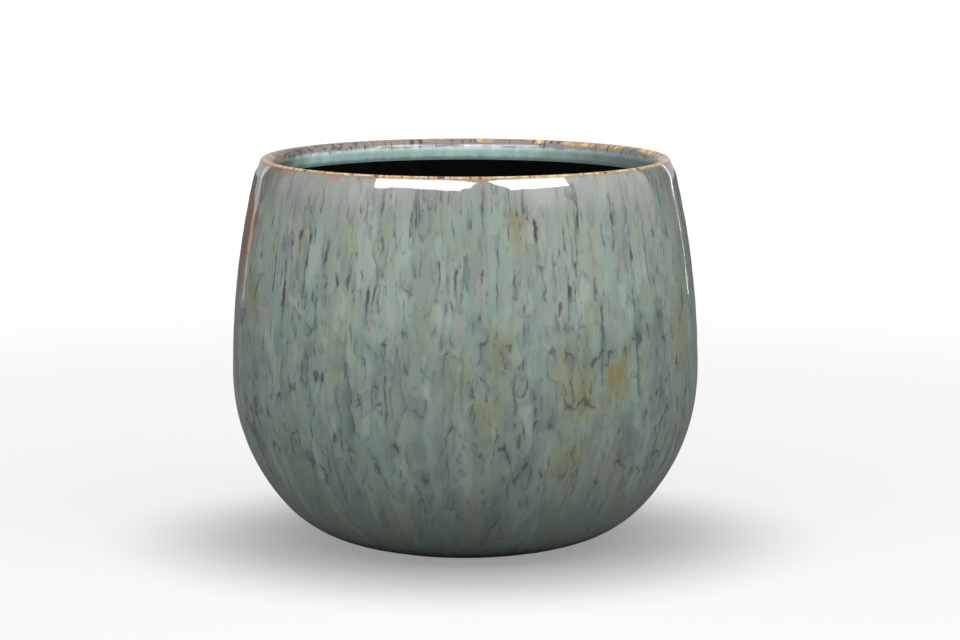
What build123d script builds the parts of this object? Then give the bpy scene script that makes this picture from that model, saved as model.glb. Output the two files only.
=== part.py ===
from build123d import *
import os
from math import sqrt

os.makedirs("parts", exist_ok=True)

# Cachepot of glazed stoneware: a thick round shell that narrows to its lip and stands on a bare foot ring.
# All sizes are millimetres. The origin is on the table under the middle of the pot, with +Z up.

# Outside, measured over the finished glaze
height = 199.5
rim_diameter = 206.5  # circle along the top of the lip
lip_radius = 2.2  # rounding outside the top of the lip
shoulder_reach = 5.25  # from the top of the lip out to where the curve of the wall tightens
shoulder_depth = 9.0  # from the top of the lip down to there
belly_bulge = 11.5  # how far the belly stands out past the shoulder
belly_height = 90.0
heel_inset = 26.0  # from the belly in to where its curve tightens towards the foot
heel_height = 21.9
glaze_line_inset = 66.0  # from the belly in to the lower end of the glaze
glaze_line_height = 1.0

# Wall and coats
wall_thickness = 9.5  # from glaze to glaze
glaze_thickness = 0.8
sealing_thickness = 0.5
bond_gap = 0.1  # the clay stands this far behind the back of every coat
amber_outside = 1.7  # from the top of the lip down to the amber glaze's edge outside
amber_inside = 2.0  # and down to its edge inside
collar_depth = 11.0  # from the top of the lip down to the end of the inside glaze

# Foot
bare_margin = 2.0  # clay wiped free of glaze around the foot ring
foot_ring_width = 9.0
recess_depth = 2.0  # hollow under the floor, inside the foot ring
recess_bevel = 1.0

# The half section is a chain of arcs, with radius across and height up. Each arc runs on from the last
# one in the same direction, so a meeting point and the two centres beside it lie on one line.
rim_radius = rim_diameter / 2
belly_radius = rim_radius + shoulder_reach + belly_bulge
belly = Vector(belly_radius, belly_height)
heel = Vector(belly_radius - heel_inset, heel_height)
glaze_line = Vector(belly_radius - glaze_line_inset, glaze_line_height)


def unit(start, end):
    """Direction from one point to another."""
    return (end - start).normalized()


def moved(point, towards, distance):
    """The point after a straight move towards another one."""
    return point + unit(point, towards) * distance


def at_level(level, centre, radius, side=1):
    """The point of a circle at a level, on its outer side, or on its inner one where side is -1."""
    rise = level - centre.Y
    return centre + Vector(side * sqrt(radius**2 - rise**2), rise)


# Bowl: upright at the belly and through the heel. Heel: on from the bowl, down to the glaze line.
belly_drop = belly_height - heel_height
bowl_radius = (heel_inset**2 + belly_drop**2) / (2 * heel_inset)
bowl_centre = belly - Vector(bowl_radius, 0)
heel_span = glaze_line - heel
heel_radius = heel_span.length**2 / (2 * heel_span.dot(unit(heel, bowl_centre)))
heel_centre = moved(heel, bowl_centre, heel_radius)

# Wall: upright at the belly and through the shoulder. Shoulder: on from the wall, into the lip's rounding.
shoulder = Vector(rim_radius + shoulder_reach, height - shoulder_depth)
shoulder_rise = shoulder.Y - belly_height
wall_radius = (belly_bulge**2 + shoulder_rise**2) / (2 * belly_bulge)
wall_centre = belly - Vector(wall_radius, 0)
lip_centre = Vector(rim_radius, height - lip_radius)
lip_span = shoulder - lip_centre
shoulder_bow = lip_span.dot(unit(wall_centre, shoulder)) - lip_radius
shoulder_radius = (lip_span.length**2 - lip_radius**2) / (2 * shoulder_bow)
shoulder_centre = moved(shoulder, wall_centre, shoulder_radius)
lip_start = moved(shoulder_centre, lip_centre, shoulder_radius)
amber_start = at_level(height - amber_outside, shoulder_centre, shoulder_radius)

# Inner edge of the lip: a rounding that is level at the crest and runs into the inner face of the wall.
crest = Vector(rim_radius, height)
crest_reach = crest - wall_centre
inner_wall_radius = wall_radius - wall_thickness
edge_radius = (crest_reach.length**2 - inner_wall_radius**2) / (2 * (inner_wall_radius + crest_reach.Y))
edge_centre = crest - Vector(0, edge_radius)
amber_end = at_level(height - amber_inside, edge_centre, edge_radius, side=-1)
inner_edge = moved(wall_centre, edge_centre, inner_wall_radius)

# Collar: the inner face of the wall, down to where the inside glaze ends.
collar_end = at_level(height - collar_depth, wall_centre, inner_wall_radius)


def outside_at(depth):
    """Meeting points of the arcs of the outside, at a depth under its finished glaze."""
    return [
        moved(glaze_line, heel_centre, depth),
        moved(heel, bowl_centre, depth),
        moved(belly, bowl_centre, depth),
        moved(shoulder, wall_centre, depth),
        moved(amber_start, shoulder_centre, depth),
    ]


def lip_at(depth):
    """Meeting points of the arcs over the lip, at a depth under its finished glaze."""
    return [
        moved(amber_start, shoulder_centre, depth),
        moved(lip_start, lip_centre, depth),
        moved(crest, lip_centre, depth),
        moved(amber_end, edge_centre, depth),
    ]


def collar_at(depth):
    """Meeting points of the arcs of the collar, at a depth under its finished glaze."""
    return [
        moved(amber_end, edge_centre, depth),
        moved(inner_edge, edge_centre, depth),
        moved(wall_centre, collar_end, inner_wall_radius + depth),
    ]


def inside_at(depth):
    """Meeting points of the arcs of the inner wall, from the collar to the floor, in from the outside."""
    return [
        moved(wall_centre, collar_end, wall_radius - depth),
        moved(belly, bowl_centre, depth),
        moved(heel, bowl_centre, depth),
        heel_centre - Vector(0, heel_radius - depth),
    ]


def arcs_through(points, tangent):
    """Draw an arc from each point to the next, each in the direction in which the last one arrives."""
    for start, end in zip(points, points[1:]):
        arc = TangentArc(start, end, tangent=tangent)
        tangent = arc % 1
    return tangent


def coat_outline(surface, back, *corners):
    """Draw the outline of a coat: the arcs of its surface, straight by any corners, and those of its back."""
    square_to_end = unit(surface[0], back[0])
    tangent = arcs_through(surface, (square_to_end.Y, -square_to_end.X))
    Polyline(surface[-1], *corners, back[-1])
    arcs_through(back[::-1], -tangent)
    Line(back[0], surface[0])


# The clay lies under the glaze on both faces of the wall. The sealing coat covers its inner face.
clay_depth = glaze_thickness + bond_gap
clay_outside = outside_at(clay_depth)
clay_over_lip = lip_at(clay_depth)[1:] + collar_at(clay_depth)[1:]
clay_inside = inside_at(wall_thickness - clay_depth)
seal_back_depth = wall_thickness - glaze_thickness
seal_back = inside_at(seal_back_depth)
seal_surface = inside_at(seal_back_depth + sealing_thickness)
clay_start = unit(glaze_line, heel_centre)
clay_floor = clay_inside[-1].Y
foot_radius = glaze_line.X - bare_margin
recess_radius = foot_radius - foot_ring_width

# Fired clay shell: glazed outside, over the lip and on the collar, and bare at its foot ring
with BuildPart() as stoneware_body:
    with BuildSketch(Plane.XZ):
        with BuildLine():
            arcs_through(clay_outside + clay_over_lip + clay_inside[1:], (clay_start.Y, -clay_start.X))
            Polyline(
                clay_inside[-1],
                (0, clay_floor),
                (0, recess_depth),
                (recess_radius - recess_bevel, recess_depth),
                (recess_radius, 0),
                (foot_radius, 0),
                clay_outside[0],
            )
        make_face()
    revolve(axis=Axis.Z)
stoneware_body.part.label = "stoneware_body"
export_step(stoneware_body.part, "parts/stoneware_body.step")

# Thick reactive glaze on the outside, from just above the foot to the amber of the lip
with BuildPart() as outside_glaze:
    with BuildSketch(Plane.XZ):
        with BuildLine():
            coat_outline(outside_at(0), outside_at(glaze_thickness))
        make_face()
    revolve(axis=Axis.Z)
outside_glaze.part.label = "outside_glaze"
export_step(outside_glaze.part, "parts/outside_glaze.step")

# Amber glaze over the top and the inner edge of the lip
with BuildPart() as lip_glaze:
    with BuildSketch(Plane.XZ):
        with BuildLine():
            coat_outline(lip_at(0), lip_at(glaze_thickness))
        make_face()
    revolve(axis=Axis.Z)
lip_glaze.part.label = "lip_glaze"
export_step(lip_glaze.part, "parts/lip_glaze.step")

# Turquoise glaze on the collar just inside the lip
with BuildPart() as inside_glaze:
    with BuildSketch(Plane.XZ):
        with BuildLine():
            coat_outline(collar_at(0), collar_at(glaze_thickness))
        make_face()
    revolve(axis=Axis.Z)
inside_glaze.part.label = "inside_glaze"
export_step(inside_glaze.part, "parts/inside_glaze.step")

# Black waterproof coat on the inner wall and the floor
with BuildPart() as sealing_coat:
    with BuildSketch(Plane.XZ):
        with BuildLine():
            coat_outline(seal_surface, seal_back, (0, seal_surface[-1].Y), (0, seal_back[-1].Y))
        make_face()
    revolve(axis=Axis.Z)
sealing_coat.part.label = "sealing_coat"
export_step(sealing_coat.part, "parts/sealing_coat.step")
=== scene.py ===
from math import asin, atan2, cos, pi, radians, sin

import bmesh
import bpy
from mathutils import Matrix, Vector, noise


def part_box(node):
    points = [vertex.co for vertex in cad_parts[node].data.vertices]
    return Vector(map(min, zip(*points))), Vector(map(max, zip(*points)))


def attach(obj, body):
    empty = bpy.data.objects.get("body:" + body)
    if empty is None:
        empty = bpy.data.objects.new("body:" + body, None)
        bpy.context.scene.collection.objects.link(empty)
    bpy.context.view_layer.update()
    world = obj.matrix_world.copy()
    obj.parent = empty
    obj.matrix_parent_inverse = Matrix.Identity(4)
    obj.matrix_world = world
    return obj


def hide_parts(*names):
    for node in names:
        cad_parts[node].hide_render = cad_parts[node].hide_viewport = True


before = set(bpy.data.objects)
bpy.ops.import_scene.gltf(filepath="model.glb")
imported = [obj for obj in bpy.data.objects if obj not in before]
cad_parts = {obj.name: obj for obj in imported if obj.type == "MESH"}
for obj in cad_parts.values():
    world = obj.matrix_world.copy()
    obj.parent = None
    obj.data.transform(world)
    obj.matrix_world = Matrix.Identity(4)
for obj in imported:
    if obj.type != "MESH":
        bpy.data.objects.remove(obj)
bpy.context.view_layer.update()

# Stoneware body: the shell of fired clay under all the coats. It is cast, turned smooth and wiped
# free of glaze at the foot, so bare clay shows on the foot ring and in the recess under the floor.


class Shade:
    """A socket of a material's nodes, so that shading is written as sums and products."""

    def __init__(self, tree, socket):
        self.tree = tree
        self.socket = socket

    def node(self, kind, sockets, output=0, **settings):
        """Any node: its type, its settings, and the values or links of its sockets."""
        node = self.tree.nodes.new(kind)
        for name, value in settings.items():
            setattr(node, name, value)
        for key, value in sockets.items():
            if isinstance(value, Shade):
                self.tree.links.new(value.socket, node.inputs[key])
            else:
                node.inputs[key].default_value = value
        return Shade(self.tree, node.outputs[output])

    def maths(self, operation, first, second=0.0):
        return self.node("ShaderNodeMath", {0: first, 1: second}, operation=operation)

    def __add__(self, other):
        return self.maths("ADD", self, other)

    def __radd__(self, other):
        return self.maths("ADD", other, self)

    def __sub__(self, other):
        return self.maths("SUBTRACT", self, other)

    def __rsub__(self, other):
        return self.maths("SUBTRACT", other, self)

    def __mul__(self, other):
        return self.maths("MULTIPLY", self, other)

    def __rmul__(self, other):
        return self.maths("MULTIPLY", other, self)

    def __abs__(self):
        return self.maths("ABSOLUTE", self)

    def larger(self, other):
        return self.maths("MAXIMUM", self, other)

    def ramp(self, low, high):
        """Eases from 0 at low to 1 at high, which may be the lower number."""
        sockets = {"Value": self, "From Min": low, "From Max": high}
        return self.node("ShaderNodeMapRange", sockets, interpolation_type="SMOOTHSTEP")

    def vector(self, operation, other):
        return self.node("ShaderNodeVectorMath", {0: self, 1: other}, operation=operation)

    def axis(self, index):
        return self.node("ShaderNodeSeparateXYZ", {0: self}, output=index)

    def clouds(self, size, detail=2.0, output="Fac"):
        """Noise with lumps of about this size, in metres, around 0.5."""
        sockets = {"Vector": self, "Scale": 1 / size, "Detail": detail}
        return self.node("ShaderNodeTexNoise", sockets, output=output)

    def cell_edge(self, size):
        """How far it is to the border of a cell, among cells of about this size in metres."""
        sockets = {"Vector": self, "Scale": 1 / size}
        return self.node("ShaderNodeTexVoronoi", sockets, feature="DISTANCE_TO_EDGE")

    def cell_tints(self, size):
        """Three numbers by chance for each of the same cells."""
        sockets = {"Vector": self, "Scale": 1 / size}
        return self.node("ShaderNodeTexVoronoi", sockets, output="Color", feature="F1")

    def soft_cell_tints(self, size, soft):
        """The same three numbers, which blend over the cells' borders."""
        sockets = {"Vector": self, "Scale": 1 / size, "Smoothness": soft}
        return self.node("ShaderNodeTexVoronoi", sockets, output="Color", feature="SMOOTH_F1")

    def mix(self, under, over):
        """The colour under, covered by the colour over where this mask is 1."""
        return self.node("ShaderNodeMix", {0: self, 6: under, 7: over}, output=2, data_type="RGBA")

    def bump(self, depth):
        """A normal for this height, which stands for depth in metres from 0 to 1."""
        return self.node("ShaderNodeBump", {"Height": self, "Distance": depth, "Strength": 1.0})

    def feed(self, shader, name):
        self.tree.links.new(self.socket, shader.inputs[name])


def new_finish(name):
    """A material with its shader node."""
    material = bpy.data.materials.new(name)
    material.use_nodes = True
    return material, material.node_tree.nodes["Principled BSDF"]


def place_on(material):
    """Where a point lies in the part's frame."""
    tree = material.node_tree
    return Shade(tree, tree.nodes.new("ShaderNodeTexCoord").outputs["Object"])


def colour(red, green, blue):
    """A screen colour, from 0 to 255, as the shader's linear one."""

    def linear(value):
        value /= 255
        return value / 12.92 if value <= 0.04045 else ((value + 0.055) / 1.055) ** 2.4

    return linear(red), linear(green), linear(blue), 1.0


clay, clay_shader = new_finish("bare_stoneware")
clay_place = place_on(clay)
buff = colour(190, 168, 138)
toasted = colour(160, 126, 92)
speck_brown = colour(84, 60, 44)
sand = colour(212, 197, 172)
blush_size = 0.03
speck_size = 0.0016
grit_size = 0.0009
grit_depth = 0.00012
turning_pitch = 0.0011
blush = clay_place.clouds(blush_size, detail=4.0).ramp(0.4, 0.68)
specks = clay_place.clouds(speck_size, detail=1.0).ramp(0.68, 0.74)
grains = clay_place.clouds(grit_size, detail=2.0)
clay_colour = blush.mix(buff, toasted)
clay_colour = (grains.ramp(0.52, 0.72) * 0.5).mix(clay_colour, sand)
clay_colour = specks.mix(clay_colour, speck_brown)
clay_colour.feed(clay_shader, "Base Color")
flat_place = clay_place.vector("MULTIPLY", (1.0, 1.0, 0.0))
from_axis = clay_place.node("ShaderNodeVectorMath", {0: flat_place}, output="Value", operation="LENGTH")
turning = from_axis.maths("SINE", from_axis * (2 * pi / turning_pitch))
(turning * 0.12 + grains).bump(grit_depth).feed(clay_shader, "Normal")
(grains * 0.2 + 0.68).feed(clay_shader, "Roughness")
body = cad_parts["stoneware_body"]
body.data.materials.clear()
body.data.materials.append(clay)

# Outside glaze: a thick reactive glaze that is dipped on and runs down in the kiln. It breaks into
# pale flakes with dark blue-grey veins between them, and gathers in an uneven roll above the foot.

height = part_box("lip_glaze")[1].z
belly_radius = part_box("outside_glaze")[1].x
belly_height = 0.09
rim_radius = 0.10325
lip_radius = 0.0022
shoulder_reach = 0.00525
shoulder_depth = 0.009
heel_inset = 0.026
heel_height = 0.0219
glaze_line_inset = 0.066
glaze_line_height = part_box("outside_glaze")[0].z
amber_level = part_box("outside_glaze")[1].z
wall_thickness = 0.0095
glaze_thickness = 0.0008

# Lengths of the mesh's faces: round the pot, up the wall and the shoulder, and on the back of the coat
around_step = 0.00157
wall_step = 0.0018
shoulder_step = 0.0006
outside_back_step = 0.008

# The half section is a chain of arcs, with the radius as x and the height as y.
belly = Vector((belly_radius, belly_height))
heel = Vector((belly_radius - heel_inset, heel_height))
glaze_line = Vector((belly_radius - glaze_line_inset, glaze_line_height))
belly_drop = belly_height - heel_height
bowl_radius = (heel_inset**2 + belly_drop**2) / (2 * heel_inset)
bowl_centre = belly - Vector((bowl_radius, 0))
into_bowl = (bowl_centre - heel).normalized()
heel_span = glaze_line - heel
heel_radius = heel_span.length_squared / (2 * heel_span.dot(into_bowl))
heel_centre = heel + into_bowl * heel_radius
shoulder = Vector((rim_radius + shoulder_reach, height - shoulder_depth))
wall_span = shoulder - belly
wall_radius = wall_span.length_squared / (-2 * wall_span.x)
wall_centre = belly - Vector((wall_radius, 0))
lip_centre = Vector((rim_radius, height - lip_radius))
lip_span = shoulder - lip_centre
out_of_wall = (shoulder - wall_centre).normalized()
shoulder_bow = lip_span.dot(out_of_wall) - lip_radius
shoulder_radius = (lip_span.length_squared - lip_radius**2) / (2 * shoulder_bow)
shoulder_centre = shoulder - out_of_wall * shoulder_radius


def angle_of(point, centre):
    """Direction from a centre to a point of the half section, up from level."""
    return atan2(point.y - centre.y, point.x - centre.x)


def draw_arc(shape, vertex, centre, end, step, side, facing):
    """Draw an arc of an outline from a vertex to an angle, by steps of about this length.

    The side is 1 where the coat's surface is away from the centre, or -1 where it is towards it.
    Each corner keeps the lean of that surface and, counted up or down, how far along it lies.
    """
    lean = shape.verts.layers.float["lean"]
    along = shape.verts.layers.float["along"]
    front = shape.verts.layers.float["front"]
    turn = (end - angle_of(vertex.co.xz, centre) + pi) % (2 * pi) - pi
    steps = max(2, round(abs(turn) * (vertex.co.xz - centre).length / step))
    middle = (centre.x, 0, centre.y)
    bmesh.ops.spin(shape, geom=[vertex], cent=middle, axis=(0, -1, 0), angle=turn, steps=steps)
    drawn = [vertex] + shape.verts[-steps:]
    for before, after in zip(drawn, drawn[1:]):
        after[along] = before[along] + facing * (after.co - before.co).length
        after[lean] = angle_of(after.co.xz, centre) + (0 if side > 0 else pi)
        after[front] = before[front]
    return drawn[-1]


def draw_coat(shape, first, arcs, thickness, back_step, last=None):
    """Draw a coat's outline: arcs along its surface from the first vertex, and coarser ones on its back.

    An arc is its centre, the angle that it ends at, the length of its steps and the side of the surface.
    """
    lean = shape.verts.layers.float["lean"]
    along = shape.verts.layers.float["along"]
    ends = []
    vertex = first
    for centre, end, step, side in arcs:
        ends.append(angle_of(vertex.co.xz, centre))
        vertex = draw_arc(shape, vertex, centre, end, step, side, 1)
    inward = Vector((-cos(vertex[lean]), 0, -sin(vertex[lean])))
    back = shape.verts.new(vertex.co + inward * thickness)
    back[along] = vertex[along]
    back[lean] = vertex[lean]
    shape.edges.new((vertex, back))
    for (centre, _, _, side), begin in zip(reversed(arcs), reversed(ends)):
        back = draw_arc(shape, back, centre, begin, back_step, side, -1)
    shape.edges.new((back, last or first))


def first_corner(shape, point, lean):
    """The first corner of an outline, on the coat's surface."""
    corner = shape.verts.new((point.x, 0, point.y))
    corner[shape.verts.layers.float["front"]] = 1.0
    corner[shape.verts.layers.float["lean"]] = lean
    return corner


def new_profile():
    """An empty shape whose corners know the lean of the surface and how far along it they lie."""
    shape = bmesh.new()
    for name in ("lean", "along", "front"):
        shape.verts.layers.float.new(name)
    return shape


def uneven(where, along, hold):
    """How far the glaze stands proud of its mean surface: broad swells, upright runs and a fine ripple."""
    swell_size, run_size, ripple_size = 0.04, 0.009, 0.008
    swell_rise, run_rise, ripple_rise = 0.00010, 0.00004, 0.00013
    swell = noise.noise(Vector((where.x, where.y, along * 0.7)) / swell_size)
    runs = noise.noise(Vector((where.x, where.y, along * 0.12)) / run_size + Vector((7.3, 1.9, 4.1)))
    ripple = noise.noise(Vector((where.x, where.y, along)) / ripple_size + Vector((2.7, 8.8, 5.2)))
    return hold * (swell_rise * swell + run_rise * runs + ripple_rise * ripple)


def turn_round(shape):
    """Turn an outline round the pot's axis: one sector by small steps, and then the sector round."""
    sectors = 16
    sector = 2 * pi / sectors
    steps = round(sector * belly_radius / around_step)
    axis = {"cent": (0, 0, 0), "axis": (0, 0, 1)}
    outline = shape.verts[:] + shape.edges[:]
    bmesh.ops.spin(shape, geom=outline, angle=sector, steps=steps, **axis)
    whole = shape.verts[:] + shape.edges[:] + shape.faces[:]
    bmesh.ops.spin(shape, geom=whole, angle=2 * pi - sector, steps=sectors - 1, use_duplicate=True, **axis)
    bmesh.ops.remove_doubles(shape, verts=shape.verts, dist=1e-6)
    bmesh.ops.recalc_face_normals(shape, faces=shape.faces)


def fire(shape, name, rise, crest_along):
    """Turn a coat's outline round the pot, let its surface flow, and make it a piece."""
    sharp_edge = radians(40)
    turn_round(shape)
    lean = shape.verts.layers.float["lean"]
    along = shape.verts.layers.float["along"]
    front = shape.verts.layers.float["front"]
    flow = shape.verts.layers.float_vector.new("flow")
    for vertex in shape.verts:
        around = Vector((vertex.co.x, vertex.co.y, 0)).normalized()
        where = around * belly_radius
        below_lip = crest_along - vertex[along]
        vertex[flow] = (where.x, where.y, below_lip)
        if vertex[front]:
            out = around * cos(vertex[lean]) + Vector((0, 0, sin(vertex[lean])))
            vertex.co += out * rise(where, below_lip)
    for face in shape.faces:
        face.smooth = True
    for edge in shape.edges:
        edge.smooth = edge.calc_face_angle(0) < sharp_edge
    mesh = bpy.data.meshes.new(name)
    shape.to_mesh(mesh)
    shape.free()
    for spare in ("lean", "along", "front"):
        mesh.attributes.remove(mesh.attributes[spare])
    piece = bpy.data.objects.new(name, mesh)
    bpy.context.scene.collection.objects.link(piece)
    return piece


def eased(value, low, high):
    """Eases from 0 at low to 1 at high."""
    share = min(max((value - low) / (high - low), 0), 1)
    return share * share * (3 - 2 * share)


amber_start_angle = asin((amber_level - shoulder_centre.y) / shoulder_radius)
outside_arcs = [
    (heel_centre, angle_of(heel, heel_centre), wall_step, 1),
    (bowl_centre, 0, wall_step, 1),
    (wall_centre, angle_of(shoulder, wall_centre), wall_step, 1),
    (shoulder_centre, amber_start_angle, shoulder_step, 1),
]
outside_outline = new_profile()
outside_corner = first_corner(outside_outline, glaze_line, angle_of(glaze_line, heel_centre))
draw_coat(outside_outline, outside_corner, outside_arcs, glaze_thickness, outside_back_step)
outside_along = outside_outline.verts.layers.float["along"]
outside_length = max(vertex[outside_along] for vertex in outside_outline.verts)

# How far the crest of the lip lies along the surface, from the foot up
lip_start_angle = angle_of(lip_centre, shoulder_centre)
lip_crest = shoulder_radius * (lip_start_angle - amber_start_angle)
lip_crest += lip_radius * (pi / 2 - lip_start_angle)
crest_along = outside_length + lip_crest


def outside_rise(where, below_lip):
    """The glaze is even near the lip, uneven lower down, and rolls up above the foot."""
    roll_rise = 0.0003
    gather_size = 0.011
    hold = 0.2 + 0.8 * eased(below_lip, 0.0026, 0.006)
    above_foot = crest_along - below_lip
    gathers = 0.6 + 0.9 * noise.noise(where / gather_size)
    rolled = eased(above_foot, 0.0, 0.0015) * (1 - eased(above_foot, 0.0025, 0.008))
    return uneven(where, below_lip, hold) + roll_rise * gathers * rolled


outside_glaze = fire(outside_outline, "outside_glaze_coat", outside_rise, crest_along)

glaze, glaze_shader = new_finish("reactive_glaze")
flow = Shade(glaze.node_tree, None).node("ShaderNodeAttribute", {}, output="Vector", attribute_name="flow")
below_lip = flow.axis(2)
sage = colour(141, 151, 136)
aqua = colour(136, 157, 146)
pale_aqua = colour(155, 172, 161)
rosy_grey = colour(150, 148, 143)
blue_grey = colour(101, 114, 114)
painted_foot_shade = colour(96, 108, 102)
lichen = colour(147, 158, 129)
moss = colour(136, 146, 110)
ochre = colour(136, 116, 78)
rust = colour(156, 98, 68)
vein_dark = colour(46, 54, 55)
vein_blue = colour(56, 68, 88)


def run_down(stretch):
    """The place on the glaze, with patterns drawn out down the wall by so many times."""
    return flow.vector("MULTIPLY", (1.0, 1.0, 1 / stretch))


def drifted(place, size, reach):
    """The place moved about, as the melt drifts."""
    drift = flow.clouds(size, detail=2.0, output="Color").vector("SUBTRACT", (0.5, 0.5, 0.5))
    return place.vector("ADD", drift.vector("MULTIPLY", (2 * reach, 2 * reach, 2 * reach)))


# Soft flakes, each of its own tint, that the melt draws out down the wall
broad = run_down(1.5).clouds(0.03, detail=2.0, output="Color")
crowded = broad.axis(1) - 0.5
streaks = drifted(run_down(4), 0.03, 0.002).clouds(0.008, detail=2.0, output="Color")
flake_size = 0.0088
chip_size = 0.005
flake_place = drifted(drifted(run_down(4), 0.014, 0.003), 0.004, 0.0006)
chip_place = drifted(drifted(run_down(2.6), 0.01, 0.002), 0.004, 0.0006)
flakes = flake_place.soft_cell_tints(flake_size, 0.8)
chips = chip_place.soft_cell_tints(chip_size, 0.8)
tint = 0.5 * flakes.axis(0) + 0.3 * chips.axis(0) + 0.4 * streaks.axis(0) + 0.6 * broad.axis(0)
glaze_colour = (tint + 0.15 * below_lip.ramp(0.03, 0.07)).ramp(0.7, 1.1).mix(sage, aqua)
rosy = (0.6 * streaks.axis(1) + 0.4 * flakes.axis(0)).ramp(0.46, 0.66) * below_lip.ramp(0.24, 0.06)
glaze_colour = (rosy * 0.6).mix(glaze_colour, rosy_grey)
yellowed = (0.6 * flakes.axis(2) + 0.4 * broad.axis(2)).ramp(0.5, 0.8)
glaze_colour = (yellowed * 0.5).mix(glaze_colour, lichen)
light = 0.45 * flakes.axis(1) + 0.35 * chips.axis(1) + 0.4 * streaks.axis(2)
paler = light.ramp(0.58, 0.88) * (0.55 + 0.2 * below_lip.ramp(0.03, 0.07))
glaze_colour = paler.mix(glaze_colour, pale_aqua)
glaze_colour = (light.ramp(0.56, 0.3) * 0.3).mix(glaze_colour, blue_grey)

# Where the glaze lies thickest, in the middle of the wall, it is clouded and deeper in tone. Towards the
# foot it is darker again, which is painted shade where the wall turns under away from the lamps.
thick = (below_lip + 0.12 * crowded).ramp(0.07, 0.105) * below_lip.ramp(0.165, 0.13)
clouded = drifted(run_down(1.6), 0.02, 0.004).clouds(0.013, detail=3.0).ramp(0.46, 0.66)
glaze_colour = (thick * (0.15 + 0.45 * clouded)).mix(glaze_colour, blue_grey)
# Painted shade: deep green-grey towards the foot, where the wall turns under
glaze_colour = (below_lip.ramp(0.15, 0.2) * 0.4).mix(glaze_colour, painted_foot_shade)

# Iron in the glaze: a few ochre patches with moss green round them, and a rust run on the left
mottle = drifted(run_down(1.6), 0.01, 0.003).clouds(0.007, detail=3.0) - 0.5


def patch(turn, below, wide, tall):
    """A ragged patch, at an angle in degrees round from the front and a distance below the lip."""
    middle = (belly_radius * sin(radians(turn)), -belly_radius * cos(radians(turn)), below)
    off = flow.vector("SUBTRACT", middle).vector("DIVIDE", (wide, wide, tall))
    return off.node("ShaderNodeVectorMath", {0: off}, output="Value", operation="LENGTH") + 2.4 * mottle


# Each patch: degrees round from the front, distance below the lip, width, height, and how much ochre shows
iron_patches = [
    (27, 0.103, 0.013, 0.020, 0.25),
    (39, 0.104, 0.009, 0.014, 0.75),
    (29, 0.115, 0.015, 0.008, 0.35),
    (9, 0.086, 0.007, 0.015, 0.3),
    (13, 0.022, 0.006, 0.014, 0.6),
    (5, 0.117, 0.007, 0.013, 0.2),
    (-1, 0.100, 0.005, 0.012, 0.0),
    (26, 0.145, 0.011, 0.014, 0.3),
    (66, 0.090, 0.012, 0.030, 0.1),
    (-9, 0.072, 0.004, 0.012, 0.0),
    (-64, 0.069, 0.008, 0.014, 0.4),
    (150, 0.060, 0.012, 0.018, 0.3),
    (195, 0.110, 0.015, 0.020, 0.4),
    (255, 0.080, 0.011, 0.018, 0.2),
]
for *place_and_size, ochre_share in iron_patches:
    away = patch(*place_and_size)
    glaze_colour = (away.ramp(1.7, 0.5) * 0.45).mix(glaze_colour, moss)
    glaze_colour = (away.ramp(1.0, 0.1) * ochre_share).mix(glaze_colour, ochre)
rust_run = patch(-75, 0.037, 0.014, 0.026)
glaze_colour = (rust_run.ramp(1.5, 0.4) * 0.8).mix(glaze_colour, rust)

# Shadow gathers on one side of a flake, where a paler one lies beside it, and is darkest along that edge
vein_colour = run_down(3).clouds(0.011).ramp(0.5, 0.66).mix(vein_dark, vein_blue)


def shadowed(under, place, size, tints, reach):
    """The colour under, with shadows beside the paler flakes of this size where the reach is 1."""
    beside_paler = tints.axis(1) - place.cell_tints(size).axis(1)
    shaded = (beside_paler.ramp(0.0, 0.3) * reach * 0.6).mix(under, blue_grey)
    return (beside_paler.ramp(0.2, 0.5) * reach * 0.6).mix(shaded, vein_colour)


flake_reach = (run_down(3).clouds(0.009, detail=2.0) + 0.2 * crowded).ramp(0.4, 0.6)
glaze_colour = shadowed(glaze_colour, flake_place, flake_size, flakes, flake_reach)
chip_reach = (run_down(2.5).clouds(0.006, detail=2.0) + 0.3 * crowded).ramp(0.42, 0.62)
glaze_colour = shadowed(glaze_colour, chip_place, chip_size, chips, chip_reach)

# Veins run down the wall as dark strokes with soft sides. In the middle they also wander round the
# flakes, and they fade out towards the foot.
to_left = flow.axis(0).ramp(0.06, -0.09)
to_foot = below_lip.ramp(0.19, 0.14)
in_middle = below_lip.ramp(0.055, 0.09)


def stroked(under, place, size, dark):
    """The colour under, with upright strokes about as wide as this size."""
    stroke = place.clouds(size, detail=1.5) + 0.15 * crowded + (0.012 + 0.012 * to_left) * (1 - in_middle)
    shown = (1 - 0.4 * in_middle) * (0.3 + 0.7 * to_foot)
    shaded = (stroke.ramp(0.55, 0.69) * shown * 0.45).mix(under, blue_grey)
    return (stroke.ramp(0.64, 0.77) * shown * dark).mix(shaded, vein_colour)


long_strokes = drifted(drifted(run_down(10), 0.02, 0.003), 0.006, 0.0009)
short_strokes = drifted(drifted(run_down(6), 0.012, 0.002), 0.005, 0.0007)
glaze_colour = stroked(glaze_colour, long_strokes, 0.0036, 0.95)
glaze_colour = stroked(glaze_colour, short_strokes, 0.0023, 0.8)

vein_size = 0.0095
wander_place = drifted(drifted(run_down(2.2), 0.014, 0.004), 0.004, 0.0009)
vein_edge = wander_place.cell_edge(vein_size)
vein_reach = (run_down(1.8).clouds(0.006, detail=2.0) + 0.3 * crowded).ramp(0.5, 0.66)
vein_reach = vein_reach * in_middle * to_foot
glaze_colour = (vein_edge.ramp(0.35, 0.0) * vein_reach * 0.55).mix(glaze_colour, blue_grey)
vein_line = (vein_edge - 0.025 * vein_reach).ramp(0.05, -0.04) * vein_reach
glaze_colour = (vein_line * 0.75).mix(glaze_colour, vein_colour)

outside_glaze.data.materials.append(glaze)
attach(outside_glaze, "root")
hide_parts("outside_glaze")

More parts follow.
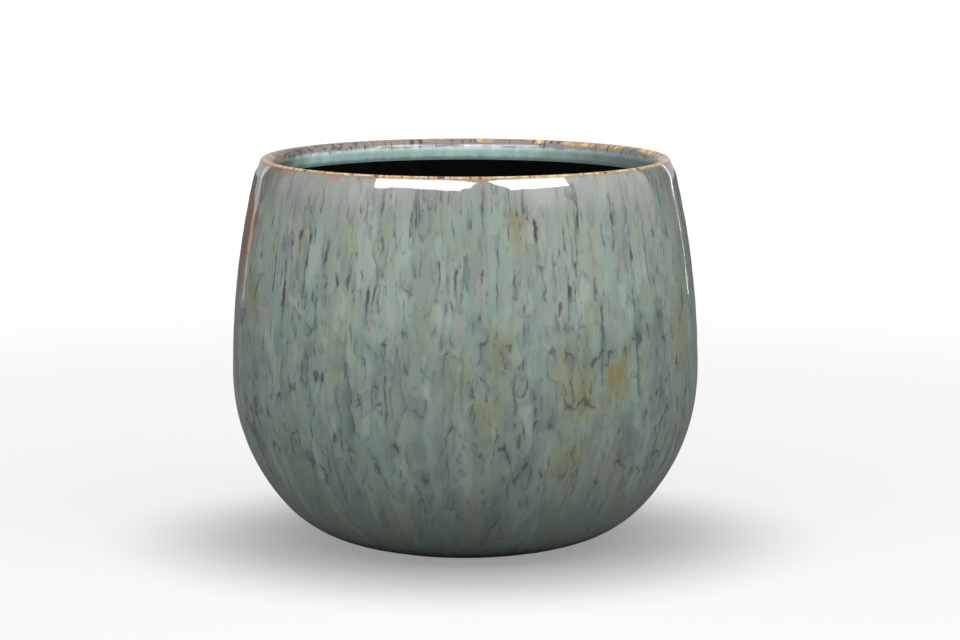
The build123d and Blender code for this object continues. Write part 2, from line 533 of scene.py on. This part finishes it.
# Lip glaze: the same glaze over the top of the lip. It runs off the edge while it melts, so it is thin
# there and breaks to amber and gold, with fine dark ticks across it.

crest_way = Vector((rim_radius, height)) - wall_centre
inner_wall_radius = wall_radius - wall_thickness
crest_inside = crest_way.length_squared - inner_wall_radius**2
edge_radius = crest_inside / (2 * (inner_wall_radius + crest_way.y))
edge_centre = Vector((rim_radius, height - edge_radius))
collar_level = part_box("inside_glaze")[1].z
amber_end_angle = pi - asin((collar_level - edge_centre.y) / edge_radius)
amber_start = shoulder_centre + Vector((cos(amber_start_angle), sin(amber_start_angle))) * shoulder_radius
lip_step = 0.0004
crest_step = 0.0003
lip_back_step = 0.0008
lip_arcs = [
    (shoulder_centre, lip_start_angle, lip_step, 1),
    (lip_centre, pi / 2, crest_step, 1),
    (edge_centre, amber_end_angle, lip_step, 1),
]
lip_outline = new_profile()
lip_corner = first_corner(lip_outline, amber_start, amber_start_angle)
draw_coat(lip_outline, lip_corner, lip_arcs, glaze_thickness, lip_back_step)
lip_along = lip_outline.verts.layers.float["along"]
lip_length = max(vertex[lip_along] for vertex in lip_outline.verts)


def lip_rise_at(where, below_lip):
    """The glaze is nearly even over the lip and on the collar."""
    return uneven(where, below_lip, 0.2)


lip_glaze = fire(lip_outline, "lip_glaze_coat", lip_rise_at, lip_crest)
lip_glaze.data.materials.append(glaze)
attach(lip_glaze, "root")
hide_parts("lip_glaze")

amber = colour(200, 146, 82)
pale_gold_and_highlight = colour(232, 202, 148)
burnt = colour(96, 62, 40)
violet_grey = colour(122, 117, 118)
fringe_red = colour(146, 96, 90)
wander = flow.clouds(0.004, detail=2.0) - 0.5
lip_place = below_lip + 0.0018 * wander
under_lip = (below_lip + 0.035 * (streaks.axis(0) - 0.5)).ramp(0.026, 0.004)
under_lip = under_lip * below_lip.ramp(-0.001, 0.001)
glaze_colour = (under_lip * (0.25 + 0.35 * to_left)).mix(glaze_colour, violet_grey)
fringe = lip_place.ramp(0.0075, 0.0028) * lip_place.ramp(0.0, 0.002)
fringe = fringe * flow.clouds(0.007).ramp(0.46, 0.62)
glaze_colour = (fringe * (0.2 + 0.5 * to_left)).mix(glaze_colour, fringe_red)
# Pale gold in the amber: partly the thin glaze's own colour, partly painted highlight on the crest
gold = run_down(2).clouds(0.004, detail=2.0).ramp(0.42, 0.62).mix(amber, pale_gold_and_highlight)
lip_ticks = run_down(10).clouds(0.0024, detail=1.0).ramp(0.58, 0.66)
gold = (lip_ticks * 0.85).mix(gold, burnt)
amber_patches = 0.3 + 0.7 * (flow.clouds(0.02, detail=1.0) + 0.7 * flow.axis(0)).ramp(0.46, 0.6)
amber_inside = lip_place.ramp(-0.0012, -0.0002).larger(lip_place.ramp(-0.005, -0.0034) * amber_patches)
amber_at_back = amber_patches.larger(flow.axis(1).ramp(0.06, 0.0))
amber_mask = lip_place.ramp(0.0024, 0.0014) * amber_inside * amber_at_back

# Inside glaze: the glaze that was poured over the edge and left on the collar, where it lies thick
# and pools to turquoise. Its lower edge is trimmed to a line round the inner wall.

collar_end_angle = asin((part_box("inside_glaze")[0].z - belly_height) / inner_wall_radius)
collar_step = 0.0005
collar_back_step = 0.004
collar_arcs = [
    (edge_centre, angle_of(edge_centre, wall_centre) + pi, collar_step, 1),
    (wall_centre, collar_end_angle, collar_step, -1),
]
collar_outline = new_profile()
amber_end = edge_centre + Vector((cos(amber_end_angle), sin(amber_end_angle))) * edge_radius
collar_corner = first_corner(collar_outline, amber_end, amber_end_angle)
draw_coat(collar_outline, collar_corner, collar_arcs, glaze_thickness, collar_back_step)
collar_crest = lip_crest - lip_length
inside_glaze = fire(collar_outline, "inside_glaze_coat", lip_rise_at, collar_crest)
inside_glaze.data.materials.append(glaze)
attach(inside_glaze, "root")
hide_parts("inside_glaze")

turquoise = colour(186, 222, 216)
pale_turquoise = colour(206, 235, 229)
collar_shade = colour(126, 156, 150)
rim_grey = colour(140, 131, 130)
olive_brown = colour(104, 98, 84)
slate = colour(118, 126, 124)
on_collar = lip_place.ramp(-0.0012, -0.0026)
collar_colour = run_down(3).clouds(0.008, detail=2.0).ramp(0.4, 0.64).mix(turquoise, pale_turquoise)
collar_colour = lip_place.ramp(-0.0112, -0.0134).mix(collar_colour, collar_shade)
collar_top = (lip_place + 0.003 * (streaks.axis(1) - 0.5)).ramp(-0.0078, -0.0058)
collar_colour = collar_top.mix(collar_colour, rim_grey)
olive_side = (flow.axis(1) + 0.05 * crowded).ramp(0.08, 0.04) * to_left
collar_colour = (olive_side * 0.85).mix(collar_colour, olive_brown)
mottled_side = flow.axis(0).ramp(-0.05, -0.08) * lip_place.ramp(-0.009, -0.006)
mottles = mottled_side * flow.clouds(0.003, detail=2.0).ramp(0.5, 0.64)
collar_colour = (mottles * 0.8).mix(collar_colour, vein_dark)
grey_side = (flow.axis(0) + 0.06 * crowded).ramp(0.02, 0.1)
collar_colour = (grey_side * 0.8).mix(collar_colour, slate)
collar_ticks = run_down(5).clouds(0.0024, detail=1.0).ramp(0.6, 0.68)
collar_ticks = collar_ticks * lip_place.ramp(-0.0085, -0.0055)
collar_colour = (collar_ticks * 0.8).mix(collar_colour, vein_dark)
glaze_colour = on_collar.mix(glaze_colour, collar_colour)
glaze_colour = amber_mask.mix(glaze_colour, gold)

# The three glazes are one melt and share one material. Its glassy top layer shows most on the shoulder
# and at the back of the collar.
glaze_colour.feed(glaze_shader, "Base Color")
ripple_depth = 0.00012
ripple = 0.85 * run_down(1.3).clouds(0.009, detail=1.0) + 0.15 * flow.clouds(0.0022, detail=1.0)
ripple.bump(ripple_depth).feed(glaze_shader, "Normal")
glaze_shader.inputs["Roughness"].default_value = 0.07
outside_shoulder = below_lip.ramp(0.0022, 0.0032) * (below_lip + 0.012 * crowded).ramp(0.024, 0.008)
inside_back = below_lip.ramp(-0.0018, -0.0026) * flow.axis(1).ramp(0.06, 0.09)
inside_breaks = 0.3 * flow.clouds(0.016, detail=2.0).ramp(0.36, 0.56)
outside_shoulder.larger(inside_back * inside_breaks).feed(glaze_shader, "Coat Weight")
glaze_shader.inputs["Coat Roughness"].default_value = 0.02
glaze_shader.inputs["Coat IOR"].default_value = 2.2

# Sealing coat: black waterproof paint, brushed round the inner wall and the floor after the firing. It
# lies a little deeper than the edge of the collar's glaze and keeps the marks of the brush.

sealing_thickness = 0.0005
seal_step = 0.0025
seal_back_step = 0.01
floor_rings = 12
seal_depth = wall_thickness - glaze_thickness + sealing_thickness
floor_height = heel_centre.y - heel_radius + seal_depth
seal_outline = new_profile()
seal_middle = first_corner(seal_outline, Vector((0, floor_height)), pi / 2)
seal_corner = first_corner(seal_outline, Vector((heel_centre.x, floor_height)), pi / 2)
seal_corner[seal_outline.verts.layers.float["along"]] = heel_centre.x
seal_floor = seal_outline.edges.new((seal_middle, seal_corner))
seal_back = seal_outline.verts.new((0, 0, floor_height - sealing_thickness))
seal_arcs = [
    (heel_centre, angle_of(heel, heel_centre), seal_step, -1),
    (bowl_centre, 0, seal_step, -1),
    (wall_centre, collar_end_angle, seal_step, -1),
]
draw_coat(seal_outline, seal_corner, seal_arcs, sealing_thickness, seal_back_step, last=seal_back)
bmesh.ops.subdivide_edges(seal_outline, edges=[seal_floor], cuts=floor_rings)


def brushed(where, below_lip):
    """Ridges left by the brush, drawn out round the pot."""
    ridge_length, ridge_width, swell_size = 0.06, 0.0035, 0.025
    ridge_rise, swell_rise = 0.00006, 0.00008
    ridges = noise.noise(Vector((where.x / ridge_length, where.y / ridge_length, below_lip / ridge_width)))
    swell = noise.noise(Vector((where.x, where.y, below_lip)) / swell_size)
    return ridge_rise * ridges + swell_rise * swell


sealing_coat = fire(seal_outline, "sealing_coat_brushed", brushed, 0)
sealer, sealer_shader = new_finish("black_sealer")
sealer_place = place_on(sealer)
soot = colour(4, 4, 4)
dusty = colour(14, 14, 12)
brush_marks = sealer_place.vector("MULTIPLY", (0.06, 0.06, 1.0)).clouds(0.0012, detail=3.0)
dust = sealer_place.clouds(0.02, detail=4.0).ramp(0.5, 0.75)
dust.mix(soot, dusty).feed(sealer_shader, "Base Color")
(0.42 + 0.2 * brush_marks).feed(sealer_shader, "Roughness")
brush_depth = 0.00006
brush_marks.bump(brush_depth).feed(sealer_shader, "Normal")
sealer_shader.inputs["Specular IOR Level"].default_value = 0.15
sealing_coat.data.materials.append(sealer)
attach(sealing_coat, "root")
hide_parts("sealing_coat")

# Studio: a plain pale floor, two softboxes over the front of the pot, a slim light behind it on each
# side, a white background, and the camera where it stood for the photograph.

bpy.context.scene.view_settings.view_transform = "Standard"

floor_radius = 15.0
floor_shape = bmesh.new()
bmesh.ops.create_circle(floor_shape, cap_ends=True, segments=64, radius=floor_radius)
floor_mesh = bpy.data.meshes.new("floor")
floor_shape.to_mesh(floor_mesh)
floor_shape.free()
floor = bpy.data.objects.new("floor", floor_mesh)
bpy.context.scene.collection.objects.link(floor)


def seen_ray(shader_tree):
    """1 for rays from the camera, and 1 for those that come off gloss or through glass."""
    start = Shade(shader_tree, None)
    camera_ray = start.node("ShaderNodeLightPath", {}, output="Is Camera Ray")
    glossy_ray = start.node("ShaderNodeLightPath", {}, output="Is Glossy Ray")
    through_ray = start.node("ShaderNodeLightPath", {}, output="Is Transmission Ray")
    return camera_ray, glossy_ray.larger(through_ray)


# The paper glows for those rays: near the pot less, where its shadow lies, and far out up to white
paper, paper_shader = new_finish("pale_paper")
paper_shader.inputs["Base Color"].default_value = (0.18, 0.18, 0.18, 1.0)
paper_shader.inputs["Roughness"].default_value = 0.9
paper_shader.inputs["Specular IOR Level"].default_value = 0.0
paper_camera, paper_glossy = seen_ray(paper.node_tree)
paper_place = place_on(paper)
paper_far = paper_place.node("ShaderNodeVectorMath", {0: paper_place}, output="Value", operation="LENGTH")
paper_glow = 0.3 + 0.45 * paper_far.ramp(0.08, 0.2) + 0.25 * paper_far.ramp(0.4, 1.6)
paper_shader.inputs["Emission Strength"].default_value = 1.0
paper_side = abs(paper_place.axis(0))
paper_behind = (paper_place.axis(1) - 4 * paper_side).ramp(0.1, 0.6)
(paper_glow * paper_camera.larger(paper_glossy * paper_behind)).feed(paper_shader, "Emission Color")
floor.data.materials.append(paper)

# The room is dim behind the pot and lighter in front, with a pale panel on each side
world = bpy.data.worlds.new("studio")
world.use_nodes = True
bpy.context.scene.world = world
background = world.node_tree.nodes["Background"]
background.inputs["Color"].default_value = (1.0, 1.0, 1.0, 1.0)
world_camera, world_glossy = seen_ray(world.node_tree)
direction = Shade(world.node_tree, world.node_tree.nodes.new("ShaderNodeTexCoord").outputs["Generated"])
behind = 0.5 * direction.axis(1).ramp(0.78, 0.85)
room_light = 0.14 + 0.45 * direction.axis(1).ramp(0.5, -0.7)
right_panel = direction.axis(0).ramp(0.2, 0.6) * direction.axis(1).ramp(0.505, 0.485)
left_panel = direction.axis(0).ramp(-0.2, -0.6) * direction.axis(1).ramp(0.7, 0.4)
panel_top = direction.axis(2).ramp(-0.05, 0.1)
room_light = room_light + (0.6 * right_panel + 0.45 * left_panel) * panel_top
white_seen = world_camera.larger(world_glossy * behind)
room_light.larger(white_seen).feed(background, "Strength")


def new_light(name, width, tall, radiance):
    """A flat rectangular light that shines evenly."""
    lamp = bpy.data.lights.new(name, "AREA")
    lamp.shape = "RECTANGLE"
    lamp.size = width
    lamp.size_y = tall
    lamp.energy = radiance * pi * width * tall
    light = bpy.data.objects.new(name, lamp)
    bpy.context.scene.collection.objects.link(light)
    return light


def hang_softbox(name, turn, lift, width, tall, radiance):
    """A softbox that faces the top of the pot, at an angle round from the front and up from level."""
    away = 2.0
    softbox = new_light(name, width, tall, radiance)
    softbox.location = Vector((cos(lift) * sin(turn), -cos(lift) * cos(turn), sin(lift))) * away
    softbox.location.z += height
    softbox.rotation_euler = (pi / 2 - lift, 0, turn)


hang_softbox("left_softbox", radians(-27), radians(44.5), 1.7, 0.85, 4.1)
hang_softbox("right_softbox", radians(44.5), radians(44.5), 1.22, 0.85, 4.8)


def stand_strip(name, turn, width, radiance):
    """A slim upright light behind the pot, at this angle from the front, that faces the pot."""
    away = 1.4
    tall = 0.9
    above_floor = 0.01
    strip = new_light(name, width, tall, radiance)
    strip.location = (away * sin(turn), -away * cos(turn), above_floor + tall / 2)
    strip.rotation_euler = (pi / 2, 0, turn)


stand_strip("right_strip", radians(146), 0.03, 3.0)
stand_strip("left_strip", radians(-142), 0.12, 0.6)

camera_place = (0.0076, -2.00492, 0.39127)
looking_down = 0.13703
camera_data = bpy.data.cameras.new("camera")
camera_data.sensor_width = 36.0
camera_data.lens = 146.93
camera = bpy.data.objects.new("camera", camera_data)
camera.location = camera_place
camera.rotation_euler = (pi / 2 - looking_down, 0, 0)
bpy.context.scene.collection.objects.link(camera)
bpy.context.scene.camera = camera
